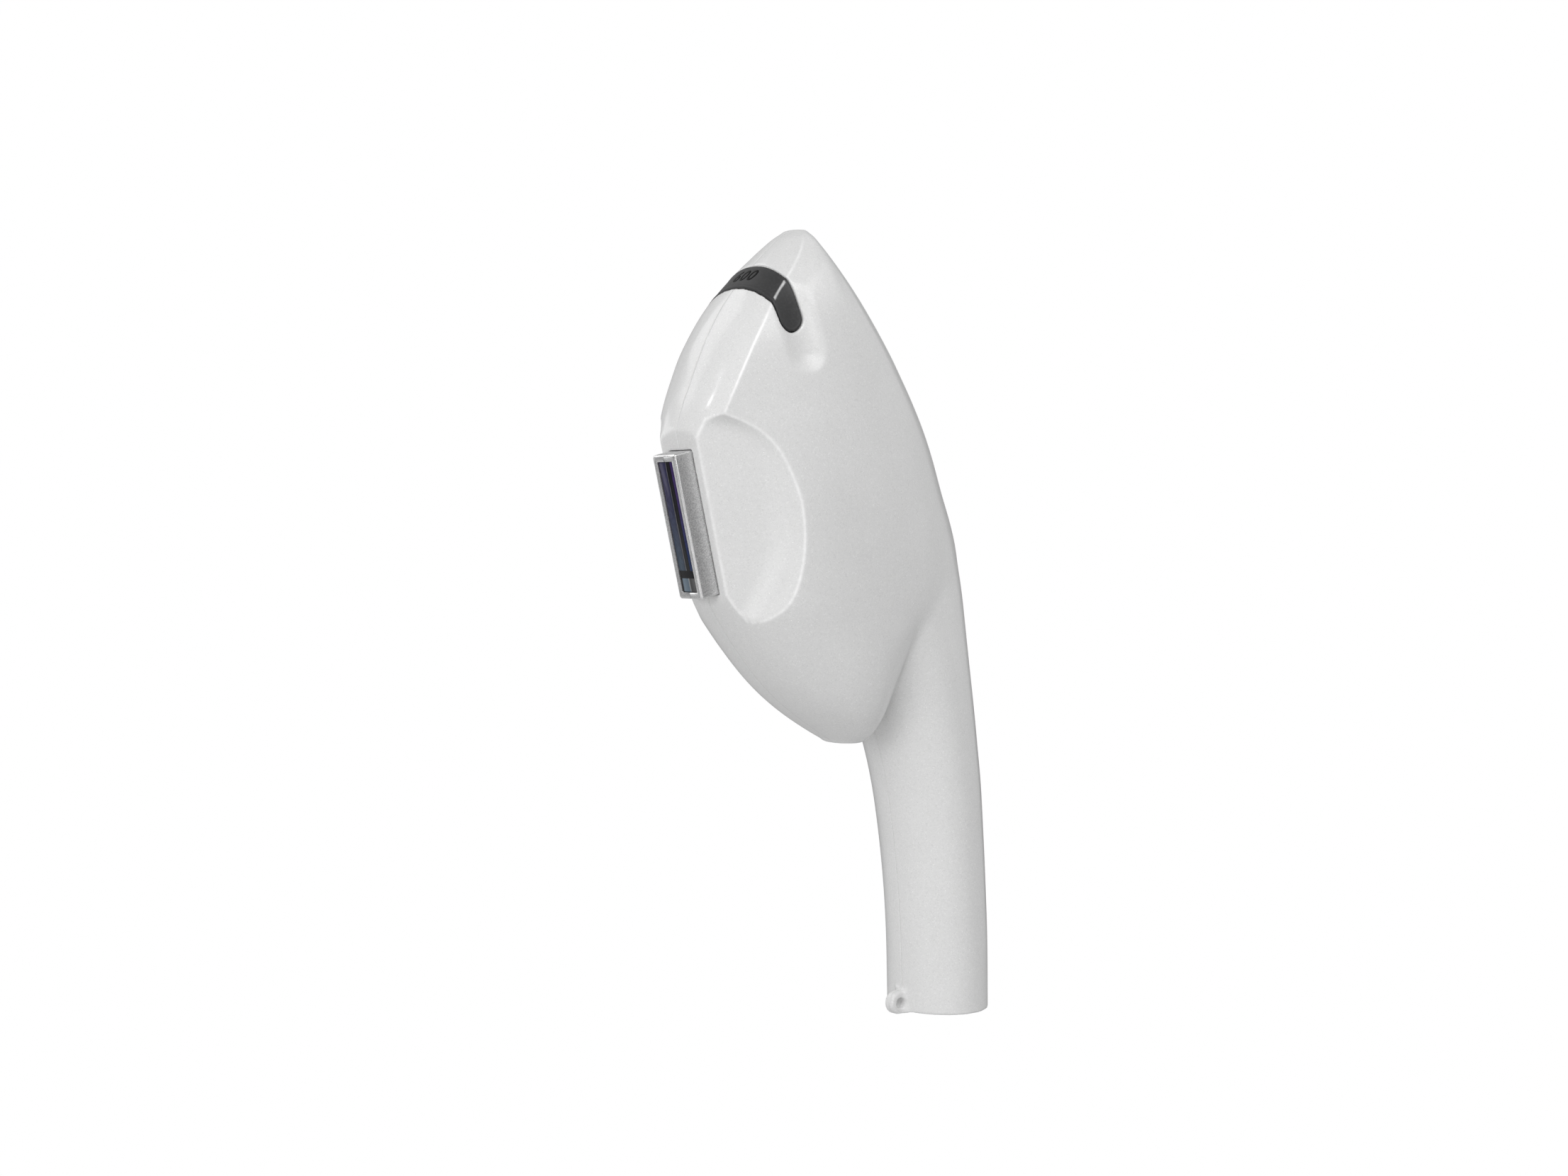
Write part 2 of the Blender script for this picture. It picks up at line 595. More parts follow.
def half_shell(name, g, field, side):
    """The half on one side of y = 0, closed on the parting plane with a fine edge break."""
    points, quads = g.mesh(field)
    points, quads = np.array(points, np.float64), np.array(quads, np.int64)
    quads = quads[(points[quads][:, :, 1] > -1e-9).any(1)]
    used = np.unique(quads)
    new_index = np.full(len(points), -1, np.int64)
    new_index[used] = np.arange(len(used))
    points, quads = points[used], new_index[quads]
    points[:, 1] *= side
    ob = quad_object(name, points, quads)

    bm = bmesh.new()
    bm.from_mesh(ob.data)
    normal = Vector((0.0, side, 0.0))
    ring, plane_y, pull = 0.19 * MM, 1e-6, 0.20 * MM    # metres

    def faces_below(limit):
        return [f for f in bm.faces if min(v.co.y * side for v in f.verts) < limit]

    # an extra ring of edges, then the cut itself
    slice_faces(bm, faces_below(3 * ring), ring, normal)
    cut = slice_faces(bm, faces_below(ring * 0.99), plane_y, normal, clear_inner=True)
    bm.normal_update()
    rim = {v for e in cut["geom_cut"] if isinstance(e, bmesh.types.BMEdge) for v in e.verts}
    for v in rim:
        outward = Vector((v.normal.x, 0.0, v.normal.z))
        if outward.length > 1e-6:
            v.co -= outward.normalized() * pull
        v.co.y = side * plane_y
    bmesh.ops.triangle_fill(bm, edges=[e for e in bm.edges if e.is_boundary],
                            use_beauty=False, use_dissolve=False)
    fill = [f for f in bm.faces if len(f.verts) == 3 and all(v in rim for v in f.verts)]
    bmesh.ops.recalc_face_normals(bm, faces=fill)
    for face in bm.faces:
        flat = all(abs(v.co.y) < 2 * plane_y for v in face.verts)
        face.smooth = not flat
        if flat:
            if face.normal.y * side > 0:
                face.normal_flip()
            for e in face.edges:
                e.smooth = False
    bm.to_mesh(ob.data)
    bm.free()
    mark_folds(ob)
    register(ob, "handpiece", "shell_white")
    return ob


def cut_screw_holes(g, field):
    """Blind holes into the bosses, from the +Y side."""
    for x, z in BOSSES:
        xs = g.span(0, x - SCREW_MARGIN, x + SCREW_MARGIN)
        zs = g.span(2, z - SCREW_MARGIN, z + SCREW_MARGIN)
        off_axis = radius(g.x[xs] - x, g.z[:, :, zs] - z)
        hole = np.maximum(off_axis - SCREW_R, SCREW_FLOOR_Y - g.y)
        field[xs, :, zs] = smax(field[xs, :, zs], -hole, soft=0.4)


shell_grid = Grid((-108, -1.6, -2.5), (19, 27.5, 247.5), SHELL_STEP)
shell = shell_field(shell_grid)
right_ob = half_shell("right_shell_skin", shell_grid, shell, -1.0)
cut_screw_holes(shell_grid, shell)
half_shell("left_shell_skin", shell_grid, shell, 1.0)
del shell


# ------------------------------------------------------------------ filter cap
def filter_cap():
    """Band over the head with a bead near its edges and a web inside the top."""
    g = Grid((-92, -24.5, 208), (-64, 24.5, 246), DETAIL_STEP)
    body = body_field(g, 196.0, 400.0, reach=4.5)
    edge = band_field(g, 0.0)
    bead = 0.13 * np.exp(-((edge + 0.55) / 0.30) ** 2)
    cap = smax(body + 0.04 - bead, edge + 0.10, soft=0.35)
    cap = smax(cap, -(body + WALL), soft=0.3)
    web_half_depth, web_half_width, web_inset, web_bottom = 1.9, 12.0, 0.6, 233.0
    web = np.maximum(np.maximum(np.abs(g.depth - BAND_MID) - web_half_depth,
                                g.across - web_half_width),
                     np.maximum(body + web_inset, web_bottom - g.rise))
    ob = quad_object("filter_cap_skin", *g.mesh(np.minimum(cap, web)))
    register(ob, "filter_cartridge", "filter_grey")
    # rubbed edge: nearness to the crease, fading out at the sides of the band
    points = points_mm(ob)
    depth, _ = window_axes(points[:, 0], points[:, 2])
    inset = BAND_HALF - np.abs(depth - BAND_MID)
    wear = (np.clip((0.62 - fold_distance(points, back_shift=0.15)) / 0.30, 0, 1)
            * np.clip((inset - 0.9) / 0.3, 0, 1))
    point_attribute(ob, "rub", wear)
    return ob


cap_ob = filter_cap()


# ------------------------------------------------------------------ fire button
def fire_button():
    """Dished pad that follows the body, with a flange behind the shell wall."""
    g = Grid((-4, -8, 112), (10, 8, 140), DETAIL_STEP)
    body = body_field(g, 98.0, 154.0, reach=4.5)
    z = g.z - BUTTON_Z
    pad = round_rect(g.y, z, BUTTON_W / 2 - BUTTON_PAD_GAP, BUTTON_H / 2 - BUTTON_PAD_GAP,
                     r=BUTTON_W / 2 - 0.35)
    pad = smax(smax(body + 0.1, pad, soft=0.7), -0.7 - g.x, soft=0.2)
    dish = np.sqrt((g.x - DISH_X) ** 2 + g.y ** 2 + z ** 2 * DISH_STRETCH) - DISH_R
    pad = smax(pad, -dish, soft=0.6)
    flange_x, flange_half = -1.4, 0.8
    flange = np.maximum(round_rect(g.y, z, 6.0, BUTTON_H / 2 + 1.4, r=0.8),
                        np.abs(g.x - flange_x) - flange_half)
    ob = quad_object("trigger_button_skin", *g.mesh(np.minimum(pad, flange)))
    register(ob, "fire_button", "button_grey")


fire_button()


# ------------------------------------------------------------------ window pieces
def solid(name, points, faces):
    """Object from (depth, across, rise) points, wound outwards."""
    me = bpy.data.meshes.new(name)
    verts = [tuple(Vector((depth * TILT_COS - rise * TILT_SIN, across,
                           depth * TILT_SIN + rise * TILT_COS)) * MM)
             for depth, across, rise in points]
    me.from_pydata(verts, [], faces)
    me.validate()
    ob = link_object(name, me)
    bm = bmesh.new()
    bm.from_mesh(me)
    bmesh.ops.recalc_face_normals(bm, faces=bm.faces)
    bm.to_mesh(me)
    bm.free()
    return ob


def window_ring(half_w, half_l, r, depth):
    """Rounded rectangle about the middle of the window."""
    arc = 7                               # points on each corner
    corners = ((half_w - r, half_l - r), (-(half_w - r), half_l - r),
               (-(half_w - r), -(half_l - r)), (half_w - r, -(half_l - r)))
    ring = []
    for quarter, (across, along) in enumerate(corners):
        for i in range(arc):
            angle = math.radians(90 * quarter + 90 * i / (arc - 1))
            ring.append((depth, across + r * math.cos(angle),
                         WINDOW_RISE + (along + r * math.sin(angle))))
    return ring


def ring_solid(name, rows, closed):
    """Solid through rounded rectangles: a closed loop of them, or a stack with end faces."""
    rings = [window_ring(*row) for row in rows]
    n, m = len(rings[0]), len(rings)
    faces = []
    for k in range(m if closed else m - 1):
        k2 = (k + 1) % m
        for i in range(n):
            j = (i + 1) % n
            faces.append((k * n + i, k * n + j, k2 * n + j, k2 * n + i))
    if not closed:
        faces.append(tuple(range(n - 1, -1, -1)))
        faces.append(tuple((m - 1) * n + i for i in range(n)))
    return solid(name, [p for ring in rings for p in ring], faces)


def window_box(name, depths, acrosses, rises):
    points = [(a, b, c) for a in depths for b in acrosses for c in rises]
    faces = [(0, 1, 3, 2), (4, 6, 7, 5), (0, 4, 5, 1), (2, 3, 7, 6), (0, 2, 6, 4), (1, 5, 7, 3)]
    return solid(name, points, faces)


def smooth_faces(ob):
    for p in ob.data.polygons:
        p.use_smooth = True
    ob.data.set_sharp_from_angle(angle=math.radians(35))


def contact_frame():
    """Metal frame round the aperture, flanged behind, with a notch at either end."""
    w, h = FRAME_W / 2, FRAME_L / 2
    hole_w, hole_h = APERTURE_W / 2, APERTURE_L / 2
    flange_w, flange_h = 7.4, 24.6
    # half width, half length, corner radius, depth
    rows = [
        (hole_w, hole_h, 0.35, -52.5), (hole_w, hole_h, 0.35, FACE_DEPTH + 0.9),
        (hole_w, hole_h, 0.35, FACE_DEPTH + 0.35),
        (hole_w + 0.08, hole_h + 0.08, 0.4, FACE_DEPTH + 0.12),
        (hole_w + 0.3, hole_h + 0.3, 0.5, FACE_DEPTH),
        (w - 0.62, h - 0.62, 0.35, FACE_DEPTH), (w - 0.5, h - 0.5, 0.4, FACE_DEPTH + 0.03),
        (w - 0.06, h - 0.06, 0.55, FACE_DEPTH + 0.52), (w, h, 0.6, FACE_DEPTH + 0.62),
        (w, h, 0.6, FACE_DEPTH + 1.2), (w, h, 0.6, -56.4), (w, h, 0.6, -55.95),
        (flange_w, flange_h, 0.6, -55.9), (flange_w, flange_h, 0.6, -53.9),
        (w, h, 0.6, -53.85), (w, h, 0.6, -52.5),
    ]
    ob = ring_solid("contact_frame_skin", rows, closed=True)
    notch_inset, notch_half_l, notch_half_w, notch_depth = 0.75, 1.5, 0.15, 0.30
    cutters = []
    for k, end in enumerate((-1, 1)):
        middle = WINDOW_RISE + end * (h - notch_inset)
        cutters.append(window_box("notch_cut_%d" % k,
                                  (FACE_DEPTH - 0.5, FACE_DEPTH + notch_depth),
                                  (-notch_half_w, notch_half_w),
                                  (middle - notch_half_l, middle + notch_half_l)))
    for cutter in cutters:
        cut = ob.modifiers.new("cut", "BOOLEAN")
        cut.operation, cut.solver, cut.object = "DIFFERENCE", "EXACT", cutter
    add_bevel(ob, width=0.07, angle=50)
    apply_modifiers(ob)
    for cutter in cutters:
        bpy.data.objects.remove(cutter)
    smooth_faces(ob)
    register(ob, "handpiece", "frame_metal")
    return ob


def polished_faces(ob):
    """The sloping faces round the outer front edge of the frame, and at the aperture ends."""
    found = []
    for p in ob.data.polygons:
        facing, _ = window_axes(p.normal.x, p.normal.z)
        centre = p.center / MM
        depth, _ = window_axes(centre.x, centre.z)
        outer = abs(centre.y) > APERTURE_W / 2 + 0.6 or abs(p.normal.y) < 0.3
        if -0.93 < facing < -0.35 and depth < FACE_DEPTH + 0.75 and outer:
            found.append(p)
    return found


def light_guide():
    """Sapphire block with a bevelled front face."""
    w, h = GUIDE_HALF_W, GUIDE_HALF_L
    # half width, half length, corner radius, depth
    rows = [(w - 0.25, h - 0.25, 0.2, FACE_DEPTH + 0.42),
            (w - 0.05, h - 0.05, 0.25, FACE_DEPTH + 0.5),
            (w, h, 0.28, FACE_DEPTH + 0.7), (w, h, 0.28, -45.0), (w, h, 0.28, -29.4)]
    ob = ring_solid("light_guide_skin", rows, closed=False)
    smooth_faces(ob)
    register(ob, "handpiece", "sapphire")


frame_ob = contact_frame()
light_guide()


# ------------------------------------------------------------------ material helpers
def grey(level):
    return (level, level, level)


class Mat:
    """Builds a node material on object coordinates (metres)."""

    INPUTS = {"color": "Base Color", "rough": "Roughness", "metal": "Metallic",
              "coat": "Coat Weight", "coat_rough": "Coat Roughness", "normal": "Normal",
              "ior": "IOR", "spec": "Specular IOR Level", "trans": "Transmission Weight"}

    def __init__(self, name):
        self.material = bpy.data.materials.new(name)
        self.material.use_nodes = True
        self.tree = self.material.node_tree
        self.shader = self.tree.nodes["Principled BSDF"]
        self.coords = self.node("ShaderNodeTexCoord").outputs["Object"]

    def node(self, kind, **settings):
        n = self.tree.nodes.new(kind)
        for key, value in settings.items():
            setattr(n, key, value)
        return n

    def put(self, socket, value):
        """Link a socket, or set a number or an RGB colour."""
        if isinstance(value, bpy.types.NodeSocket):
            self.tree.links.new(value, socket)
        elif isinstance(value, tuple):
            socket.default_value = value + (1.0,)
        else:
            socket.default_value = value

    def math(self, operation, a, b, clamp=False):
        n = self.node("ShaderNodeMath", operation=operation, use_clamp=clamp)
        self.put(n.inputs[0], a)
        self.put(n.inputs[1], b)
        return n.outputs[0]

    def noise(self, scale, detail=2.0, rough=0.5, vector=None):
        n = self.node("ShaderNodeTexNoise")
        self.put(n.inputs["Vector"], vector or self.coords)
        self.put(n.inputs["Scale"], scale)
        self.put(n.inputs["Detail"], detail)
        self.put(n.inputs["Roughness"], rough)
        return n.outputs["Fac"]

    def cells(self, scale, feature="F1"):
        n = self.node("ShaderNodeTexVoronoi", feature=feature)
        self.put(n.inputs["Vector"], self.coords)
        self.put(n.inputs["Scale"], scale)
        return n.outputs

    def channels(self, color):
        n = self.node("ShaderNodeSeparateColor")
        self.put(n.inputs["Color"], color)
        return n.outputs

    def attribute(self, name):
        return self.node("ShaderNodeAttribute", attribute_name=name).outputs["Fac"]

    def stretch(self, scale, rotation=(0.0, 0.0, 0.0)):
        n = self.node("ShaderNodeMapping")
        self.put(n.inputs["Vector"], self.coords)
        n.inputs["Scale"].default_value = scale
        n.inputs["Rotation"].default_value = rotation
        return n.outputs["Vector"]

    def ramp(self, value, stops):
        n = self.node("ShaderNodeValToRGB")
        elements = n.color_ramp.elements
        while len(elements) < len(stops):
            elements.new(0.5)
        for element, (position, color) in zip(elements, stops):
            element.position = position
            element.color = color + (1.0,)
        self.put(n.inputs["Fac"], value)
        return n.outputs["Color"]

    def remap(self, value, span=(0.3, 0.7), to=(0.0, 1.0)):
        n = self.node("ShaderNodeMapRange")
        self.put(n.inputs["Value"], value)
        self.put(n.inputs["From Min"], span[0])
        self.put(n.inputs["From Max"], span[1])
        self.put(n.inputs["To Min"], to[0])
        self.put(n.inputs["To Max"], to[1])
        return n.outputs["Result"]

    def mix(self, factor, a, b):
        n = self.node("ShaderNodeMix", data_type="RGBA")
        # sockets 0, 6 and 7 are the factor and the two colours; output 2 is the colour
        for index, value in ((0, factor), (6, a), (7, b)):
            self.put(n.inputs[index], value)
        return n.outputs[2]

    def fade(self, value, a, b, span=(0.3, 0.7), peak=1.0):
        """From colour a towards b, by up to peak, as the value crosses the span."""
        return self.mix(self.remap(value, span, (0.0, peak)), a, b)

    def bump(self, height, strength, distance):
        n = self.node("ShaderNodeBump")
        self.put(n.inputs["Height"], height)
        self.put(n.inputs["Strength"], strength)
        self.put(n.inputs["Distance"], distance)
        return n.outputs["Normal"]

    def finish(self, **values):
        for key, value in values.items():
            self.put(self.shader.inputs[self.INPUTS[key]], value)
        return self.material


# ------------------------------------------------------------------ materials
def pearl_plastic():
    m = Mat("pearl_white_plastic")
    cloud = m.noise(scale=45.0, detail=3.0, rough=0.55)
    fine = m.noise(scale=900.0, rough=0.6)
    base = m.fade(cloud, (0.735, 0.735, 0.733), (0.762, 0.762, 0.760))
    base = m.fade(fine, base, (0.80, 0.80, 0.798), span=(0.35, 0.65), peak=0.35)
    # mica flakes: sparse bright points
    flakes = m.cells(scale=1500.0)
    near = m.remap(flakes["Distance"], span=(0.12, 0.30), to=(1.0, 0.0))
    pick, shine = m.channels(flakes["Color"])[:2]
    bare_share = 0.955                    # share of cells left without a flake
    flake = m.math("MULTIPLY", near, m.math("GREATER_THAN", pick, bare_share), clamp=True)
    shine = m.remap(shine, span=(0.0, 1.0), to=(0.35, 1.0))
    base = m.mix(m.math("MULTIPLY", flake, shine), base, grey(1.0))
    # finer light and dark specks
    light, dark = m.channels(m.cells(scale=3300.0)["Color"])[:2]
    base = m.fade(light, base, grey(0.88), span=(0.80, 1.0), peak=0.55)
    base = m.fade(dark, base, grey(0.62), span=(0.80, 1.0), peak=0.45)
    # brighter fold lines
    ragged = m.remap(m.noise(scale=700.0), span=(0.25, 0.6), to=(0.45, 0.95))
    base = m.mix(m.math("MULTIPLY", m.attribute("fold"), ragged, clamp=True), base, grey(0.98))
    peel = m.noise(scale=260.0)
    rough = m.remap(m.noise(scale=120.0, detail=3.0, rough=0.6), to=(0.30, 0.37))
    flake_height = 0.5
    height = m.math("ADD", peel, m.math("MULTIPLY", flake, flake_height))
    return m.finish(color=base, rough=rough, coat=0.65, coat_rough=0.13, spec=0.5,
                    normal=m.bump(height, strength=0.05, distance=0.0003))


def satin_band():
    m = Mat("dark_satin_band")
    grain = m.noise(scale=1400.0, rough=0.6)
    base = m.fade(m.noise(scale=60.0), (0.026, 0.026, 0.027), (0.036, 0.036, 0.037))
    base = m.fade(grain, base, (0.070, 0.070, 0.072), span=(0.45, 0.7), peak=0.35)
    # polished wear along the fold of the band
    ragged = m.remap(m.noise(scale=900.0), span=(0.25, 0.6), to=(0.75, 1.0))
    wear = m.math("MULTIPLY", m.attribute("rub"), ragged, clamp=True)
    wear_strength = 0.95
    base = m.mix(m.math("MULTIPLY", wear, wear_strength, clamp=True), base, grey(0.62))
    return m.finish(color=base, rough=m.remap(grain, to=(0.42, 0.56)), spec=0.45,
                    normal=m.bump(grain, strength=0.18, distance=0.0001))


def gloss_black():
    m = Mat("gloss_black_print")
    grain = m.noise(scale=700.0)
    return m.finish(color=m.fade(grain, grey(0.004), grey(0.009)),
                    rough=m.remap(grain, to=(0.42, 0.52)), spec=0.12)


def frame_metal():
    """Bead-blasted grain under a slow cloud of darker metal."""
    m = Mat("satin_nickel_frame")
    grain = m.noise(scale=3400.0, rough=0.7)
    cloud = m.noise(scale=90.0)
    base = m.fade(grain, (0.56, 0.56, 0.565), grey(0.90), span=(0.36, 0.64))
    base = m.fade(cloud, base, (0.60, 0.60, 0.605), span=(0.35, 0.65), peak=0.30)
    return m.finish(color=base, rough=m.remap(grain, to=(0.34, 0.44)), metal=1.0,
                    normal=m.bump(grain, strength=0.10, distance=0.00004))


def polished_metal():
    m = Mat("polished_nickel_edge")
    grain = m.noise(scale=3800.0, rough=0.6)
    return m.finish(color=m.fade(grain, grey(0.86), grey(0.95), span=(0.35, 0.65)),
                    rough=m.remap(grain, to=(0.16, 0.30)), metal=1.0,
                    normal=m.bump(grain, strength=0.15, distance=0.00005))


COATING_BLACK = (0.004, 0.004, 0.006)
# coating colours across the window, from its -Y side (0) to its +Y side (1)
COATING_TOP = [
    (0.0, (0.012, 0.010, 0.02)), (0.06, (0.05, 0.030, 0.115)), (0.19, (0.06, 0.035, 0.13)),
    (0.24, COATING_BLACK), (0.31, (0.020, 0.020, 0.022)), (0.46, (0.006, 0.006, 0.008)),
    (0.49, (0.16, 0.16, 0.17)), (0.525, (0.035, 0.033, 0.07)), (0.62, (0.034, 0.034, 0.085)),
    (0.80, (0.050, 0.046, 0.105)), (0.95, (0.030, 0.026, 0.075)), (1.0, COATING_BLACK)]
COATING_LOW = [
    (0.0, (0.008, 0.010, 0.03)), (0.06, (0.014, 0.026, 0.085)), (0.20, (0.022, 0.042, 0.12)),
    (0.25, COATING_BLACK), (0.31, (0.020, 0.020, 0.020)), (0.46, (0.006, 0.006, 0.008)),
    (0.49, (0.20, 0.20, 0.21)), (0.525, (0.045, 0.055, 0.08)), (0.62, (0.050, 0.072, 0.105)),
    (0.80, (0.062, 0.090, 0.130)), (0.95, (0.035, 0.055, 0.085)), (1.0, COATING_BLACK)]
END_BLOCK = [
    (0.0, (0.05, 0.05, 0.05)), (0.10, (0.11, 0.11, 0.11)), (0.38, (0.05, 0.05, 0.05)),
    (0.46, (0.30, 0.31, 0.32)), (0.50, (0.10, 0.14, 0.18)), (0.85, (0.17, 0.22, 0.27)),
    (0.93, COATING_BLACK)]
BLOCK_TOP, BLOCK_GAP_TOP = 0.105, 0.165   # as shares of the window length


def sapphire_window():
    """Stripes of coating colour, a grey line in the middle and a lighter block at the foot."""
    m = Mat("coated_sapphire")
    place = m.node("ShaderNodeSeparateXYZ")
    m.put(place.inputs["Vector"], m.coords)
    across = m.math("MULTIPLY", place.outputs["Y"], 1.0 / (GUIDE_HALF_W * MM))
    rise = m.math("ADD", m.math("MULTIPLY", place.outputs["X"], -TILT_SIN),
                  m.math("MULTIPLY", place.outputs["Z"], TILT_COS))
    up = m.remap(rise, span=((WINDOW_RISE - GUIDE_HALF_L) * MM,
                             (WINDOW_RISE + GUIDE_HALF_L) * MM))
    wander = m.noise(scale=1.0, rough=0.6, vector=m.stretch((260.0, 260.0, 60.0)))
    noise_middle, wobble_size = 0.5, 0.16
    wobble = m.math("MULTIPLY", m.math("SUBTRACT", wander, noise_middle), wobble_size)
    over = m.remap(m.math("ADD", across, wobble), span=(-1.0, 1.0))
    top, low = m.ramp(over, COATING_TOP), m.ramp(over, COATING_LOW)
    color = m.fade(up, low, top, span=(0.25, 0.75))
    streak = m.noise(scale=1.0, detail=3.0, rough=0.6,
                     vector=m.stretch((3000.0, 3000.0, 160.0), rotation=(0.0, TILT, 0.0)))
    color = m.fade(streak, color, grey(0.0), span=(0.4, 0.7), peak=0.45)
    block = m.math("LESS_THAN", up, BLOCK_TOP)
    gap = m.math("MULTIPLY", m.math("LESS_THAN", up, BLOCK_GAP_TOP),
                 m.math("GREATER_THAN", up, BLOCK_TOP))
    color = m.mix(gap, color, COATING_BLACK)
    color = m.mix(block, color, m.ramp(over, END_BLOCK))
    ripple = m.noise(scale=300.0, detail=1.0)
    return m.finish(color=color, rough=0.12, spec=0.16,
                    normal=m.bump(ripple, strength=0.02, distance=0.0002))


def moulded(name, dark, light, rough=0.5, scale=300.0, bump=0.12, coat=0.0):
    """Plastic or rubber with a fine grain over a slow cloud."""
    m = Mat(name)
    cloud = m.noise(scale=scale * 0.2, detail=3.0, rough=0.55)
    grain = m.noise(scale=scale * 4.0, rough=0.6)
    return m.finish(color=m.fade(cloud, dark, light), coat=coat,
                    rough=m.remap(grain, to=(rough - 0.06, rough + 0.06)),
                    normal=m.bump(grain, strength=bump, distance=0.0001))


def metal(name, dark, light, rough=0.3, brushed=True):
    """Metal with brush lines along Z, or an even grain."""
    m = Mat(name)
    if brushed:
        lines = m.stretch((1800.0, 1800.0, 90.0))
        grain = m.noise(scale=1.0, detail=3.0, rough=0.6, vector=lines)
    else:
        grain = m.noise(scale=1500.0, detail=3.0, rough=0.6)
    return m.finish(color=m.fade(grain, dark, light, span=(0.35, 0.65)), metal=1.0,
                    rough=m.remap(grain, to=(rough - 0.07, rough + 0.09)),
                    normal=m.bump(grain, strength=0.15, distance=0.00006))


def clear(name, tint, rough=0.03, ior=1.45):
    m = Mat(name)
    cloud = m.noise(scale=150.0)
    lighter = tuple(min(1.0, level * 1.05) for level in tint)
    return m.finish(color=m.fade(cloud, tint, lighter),
                    rough=m.remap(cloud, to=(rough, rough + 0.03)), trans=1.0, ior=ior)


def board():
    m = Mat("circuit_board")
    edge = m.cells(scale=420.0, feature="DISTANCE_TO_EDGE")["Distance"]
    track = m.remap(edge, span=(0.02, 0.06), to=(1.0, 0.0))
    return m.finish(color=m.mix(track, (0.02, 0.10, 0.05), (0.05, 0.22, 0.10)), rough=0.32,
                    coat=0.4, normal=m.bump(track, strength=0.2, distance=0.0001))


def cable(name, dark, light, rough=0.42, bump=0.06, coat=0.0):
    return moulded(name, dark, light, rough=rough, scale=200.0, bump=bump, coat=coat)


MATS = {
    "shell_white": pearl_plastic(),
    "filter_grey": satin_band(),
    "frame_metal": frame_metal(),
    "sapphire": sapphire_window(),
    "filter_plate": metal("anodised_plate", (0.42, 0.43, 0.45), (0.52, 0.53, 0.55), rough=0.34),
    "filter_glass": clear("orange_filter_glass", (0.95, 0.42, 0.10), rough=0.02, ior=1.52),
    "magnet": metal("nickel_magnet", grey(0.6), grey(0.7), rough=0.2, brushed=False),
    "guide_black": moulded("black_guide_plastic", (0.025, 0.025, 0.027), (0.04, 0.04, 0.042)),
    "silicone": moulded("grey_silicone", (0.42, 0.44, 0.46), (0.5, 0.52, 0.54),
                        rough=0.6, scale=200.0, bump=0.08),
    "cold_block": metal("machined_block", (0.62, 0.63, 0.65), (0.74, 0.75, 0.77), rough=0.28),
    "tec_ceramic": moulded("white_ceramic", (0.82, 0.82, 0.8), (0.88, 0.88, 0.86),
                           rough=0.55, scale=400.0, bump=0.1),
    "heat_plate": metal("heat_plate", (0.52, 0.52, 0.54), (0.62, 0.62, 0.64), rough=0.35),
    "housing_resin": moulded("cream_resin", (0.74, 0.73, 0.68), (0.8, 0.79, 0.74),
                             rough=0.48, scale=250.0, bump=0.1),
    "reflector_silver": metal("silver_mirror", (0.86, 0.86, 0.87), (0.93, 0.93, 0.94),
                              rough=0.12, brushed=False),
    "quartz": clear("quartz", (0.97, 0.98, 1.0)),
    "electrode": metal("tungsten", (0.42, 0.40, 0.38), (0.52, 0.50, 0.47),
                       rough=0.4, brushed=False),
    "cap_resin": moulded("dark_resin", (0.05, 0.05, 0.055), (0.08, 0.08, 0.085), rough=0.45),
    "oring": moulded("black_oring", grey(0.015), grey(0.03), rough=0.55, bump=0.05),
    "fitting_brass": metal("turned_brass", (0.60, 0.44, 0.18), (0.72, 0.55, 0.26),
                           rough=0.25, brushed=False),
    "hose_blue": cable("blue_hose", (0.06, 0.16, 0.38), (0.08, 0.2, 0.44), rough=0.4, coat=0.1),
    "hose_red": cable("red_hose", (0.40, 0.06, 0.05), (0.46, 0.08, 0.06), rough=0.4, coat=0.1),
    "link_clear": cable("milky_hose", (0.60, 0.66, 0.68), (0.68, 0.74, 0.76),
                        rough=0.35, bump=0.05),
    "hv_red": cable("red_lead", (0.36, 0.02, 0.02), (0.44, 0.03, 0.03)),
    "hv_white": cable("white_lead", (0.74, 0.74, 0.72), (0.8, 0.8, 0.78)),
    "signal_grey": cable("grey_lead", (0.12, 0.125, 0.13), (0.17, 0.175, 0.18), rough=0.45),
    "grommet_black": moulded("rubber_grommet", grey(0.018), grey(0.035),
                             rough=0.6, scale=250.0),
    "button_grey": moulded("grey_button", (0.19, 0.195, 0.20), (0.23, 0.235, 0.24),
                           rough=0.42, coat=0.05),
    "switch_black": moulded("black_switch", grey(0.02), grey(0.04), rough=0.45),
    "board_green": board(),
    "chassis_steel": metal("brushed_chassis", (0.5, 0.51, 0.52), (0.62, 0.63, 0.64),
                           rough=0.32),
    "screw_steel": metal("screw_steel", (0.34, 0.34, 0.35), (0.48, 0.48, 0.5), brushed=False),
}
BLACK_PRINT = gloss_black()
EDGE_METAL = polished_metal()


def paint(ob, material):
    ob.data.materials.clear()
    ob.data.materials.append(material)


for name, ob in frame["nodes"].items():
    material = MATS[SLOTS[name]]
    if len(ob.material_slots) == 0:
        ob.data.materials.append(material)
    for slot in ob.material_slots:
        slot.material = material
for ob in bpy.data.objects:
    if ob.type == "MESH" and "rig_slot" in ob:
        paint(ob, MATS[ob["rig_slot"]])
frame_ob.data.materials.append(EDGE_METAL)
for polygon in polished_faces(frame_ob):
    polygon.material_index = 1

